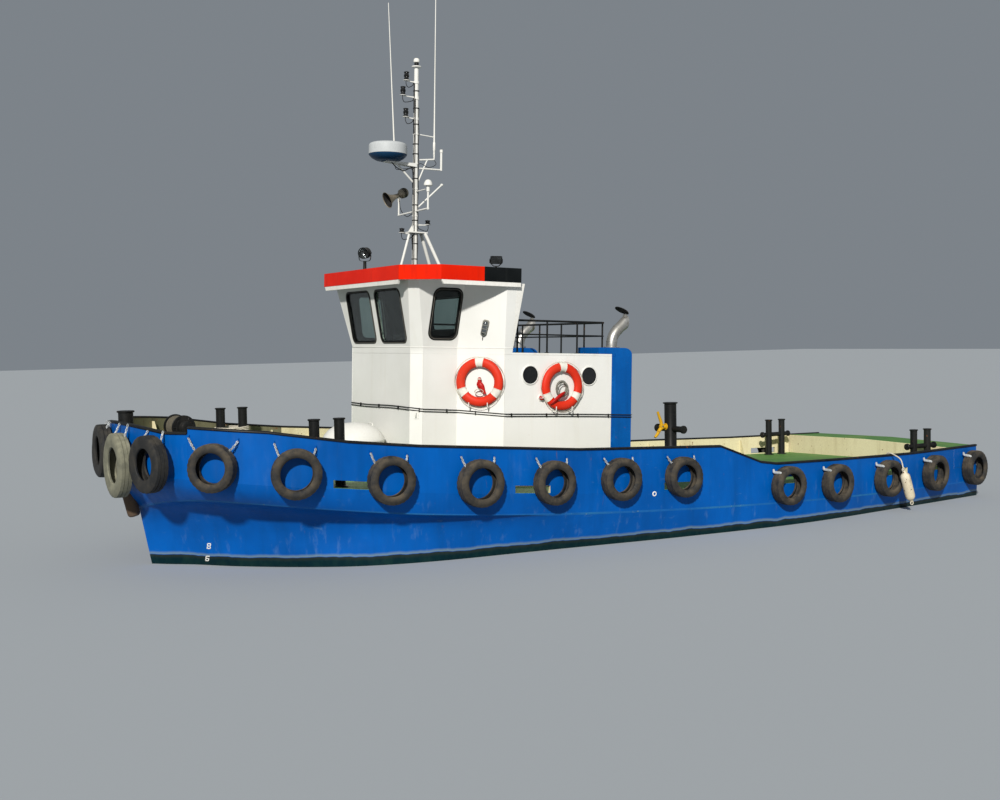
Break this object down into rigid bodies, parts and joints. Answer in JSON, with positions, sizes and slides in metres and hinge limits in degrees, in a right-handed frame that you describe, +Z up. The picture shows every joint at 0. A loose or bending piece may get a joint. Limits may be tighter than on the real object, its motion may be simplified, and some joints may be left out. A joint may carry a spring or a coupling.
{
  "type": "harbour tugboat",
  "caption": "Small twin-screw harbour tugboat with a flared wheelhouse, hollow house, mast, tow post, deck gear and tyre fenders hung along its bulwarks.",
  "frame": {"origin": "on the centreline at the waterline, near the after end of the deckhouse", "axes": "+X forward to the bow, +Y to port, +Z up; the superstructure leans 2 degrees aft, as the boat floats down by the stern"},
  "size_m": [16.2951, 6.0842, 10.5404],
  "materials": {
    "hull_blue": "glossy marine enamel, weathered",
    "deck_green": "matt deck and bottom paint",
    "tyre_rubber": "worn and dusty",
    "bronze": "cast and machined",
    "white_paint": "satin marine enamel with rust runs",
    "white_plastic": "smooth",
    "window_glass": "tinted and polished",
    "roof_red": "satin marine enamel",
    "cabin_grey": "satin",
    "seat_vinyl": "satin",
    "exhaust_steel": "dull, sooted at the mouth",
    "black_paint": "satin, worn",
    "yellow_paint": "satin, chipped",
    "horn_chrome": "polished",
    "lifebuoy_orange": "satin with pale bands"
  },
  "bodies": {
    "boat": {"bitts_aft_port": "black_paint", "bitts_aft_stbd": "black_paint", "bitts_fore_port": "black_paint", "bitts_fore_stbd": "black_paint", "bow_bollard": "black_paint", "bow_tyres": "tyre_rubber", "bulwark_port": "hull_blue", "bulwark_stbd": "hull_blue", "casing_port": "hull_blue", "casing_stbd": "hull_blue", "deckhouse_roof": "deck_green", "exhaust_port": "exhaust_steel", "exhaust_stbd": "exhaust_steel", "floodlight": "black_paint", "glass_aft": "window_glass", "glass_front_port": "window_glass", "glass_front_stbd": "window_glass", "glass_side_port": "window_glass", "glass_side_stbd": "window_glass", "hatch_trunk": "white_paint", "helm_console": "cabin_grey", "helm_seat": "seat_vinyl", "horn": "horn_chrome", "house_walls": "white_paint", "hull": "hull_blue", "lifebuoy_aft_port": "lifebuoy_orange", "lifebuoy_aft_stbd": "lifebuoy_orange", "lifebuoy_fore_port": "lifebuoy_orange", "lifebuoy_fore_stbd": "lifebuoy_orange", "mast": "white_paint", "quarter_fender": "white_plastic", "radar_dome": "white_plastic", "roof_rail": "black_paint", "shaft_bracket_port": "deck_green", "shaft_bracket_stbd": "deck_green", "skeg": "deck_green", "stem_fender": "tyre_rubber", "stern_deck": "deck_green", "tow_hook": "yellow_paint", "tow_post": "black_paint", "tyre_row_port": "tyre_rubber", "tyre_row_stbd": "tyre_rubber", "wheelhouse_roof": "roof_red", "wheelhouse_sole": "cabin_grey", "wheelhouse_walls": "white_paint", "whip_aft": "white_plastic", "whip_fore": "white_plastic", "windlass_frame": "black_paint"},
    "propeller_port": {"propeller_port": "bronze"},
    "propeller_stbd": {"propeller_stbd": "bronze"},
    "rudder_port": {"rudder_port": "deck_green"},
    "rudder_stbd": {"rudder_stbd": "deck_green"},
    "after_door": {"after_door": "white_paint"},
    "hatch_lid": {"hatch_lid": "white_paint"},
    "exhaust_flap_port": {"exhaust_flap_port": "exhaust_steel"},
    "exhaust_flap_stbd": {"exhaust_flap_stbd": "exhaust_steel"},
    "windlass_drum": {"windlass_drum": "black_paint"},
    "searchlight": {"searchlight": "black_paint"}
  },
  "joints": [
    {"name": "propeller_port_spin", "type": "hinge", "parent": "boat", "child": "propeller_port", "pos_m": [-6.7, 1.05, -1.15], "axis": [0.9976, 0, 0.0698], "continuous": true},
    {"name": "rudder_port_turn", "type": "hinge", "parent": "boat", "child": "rudder_port", "pos_m": [-7.35, 1.05, -0.73], "axis": [0, 0, 1], "range_deg": [-35, 35]},
    {"name": "exhaust_flap_port_tip", "type": "hinge", "parent": "boat", "child": "exhaust_flap_port", "pos_m": [-0.28596, 1.46, 3.60422], "axis": [0, 1, 0], "range_deg": [-242, 0]},
    {"name": "propeller_stbd_spin", "type": "hinge", "parent": "boat", "child": "propeller_stbd", "pos_m": [-6.7, -1.05, -1.15], "axis": [0.9976, 0, 0.0698], "continuous": true},
    {"name": "rudder_stbd_turn", "type": "hinge", "parent": "boat", "child": "rudder_stbd", "pos_m": [-7.35, -1.05, -0.73], "axis": [0, 0, 1], "range_deg": [-35, 35]},
    {"name": "exhaust_flap_stbd_tip", "type": "hinge", "parent": "boat", "child": "exhaust_flap_stbd", "pos_m": [-0.28596, -1.46, 3.60422], "axis": [0, 1, 0], "range_deg": [-242, 0]},
    {"name": "after_door_swing", "type": "hinge", "parent": "boat", "child": "after_door", "pos_m": [0.18328, 0.352, 1.85753], "axis": [-0.0349, 0, 0.9994], "range_deg": [-110, 0]},
    {"name": "hatch_lid_lift", "type": "hinge", "parent": "boat", "child": "hatch_lid", "pos_m": [4.675, 0.15, 1.66], "axis": [0, 1, 0], "range_deg": [0, 90]},
    {"name": "windlass_drum_spin", "type": "hinge", "parent": "boat", "child": "windlass_drum", "pos_m": [6.9, 0, 2.005], "axis": [0, 1, 0], "continuous": true},
    {"name": "searchlight_pan", "type": "hinge", "parent": "boat", "child": "searchlight", "pos_m": [3.63993, -0.38, 4.36369], "axis": [-0.0349, 0, 0.9994], "range_deg": [-170, 170]}
  ]
}
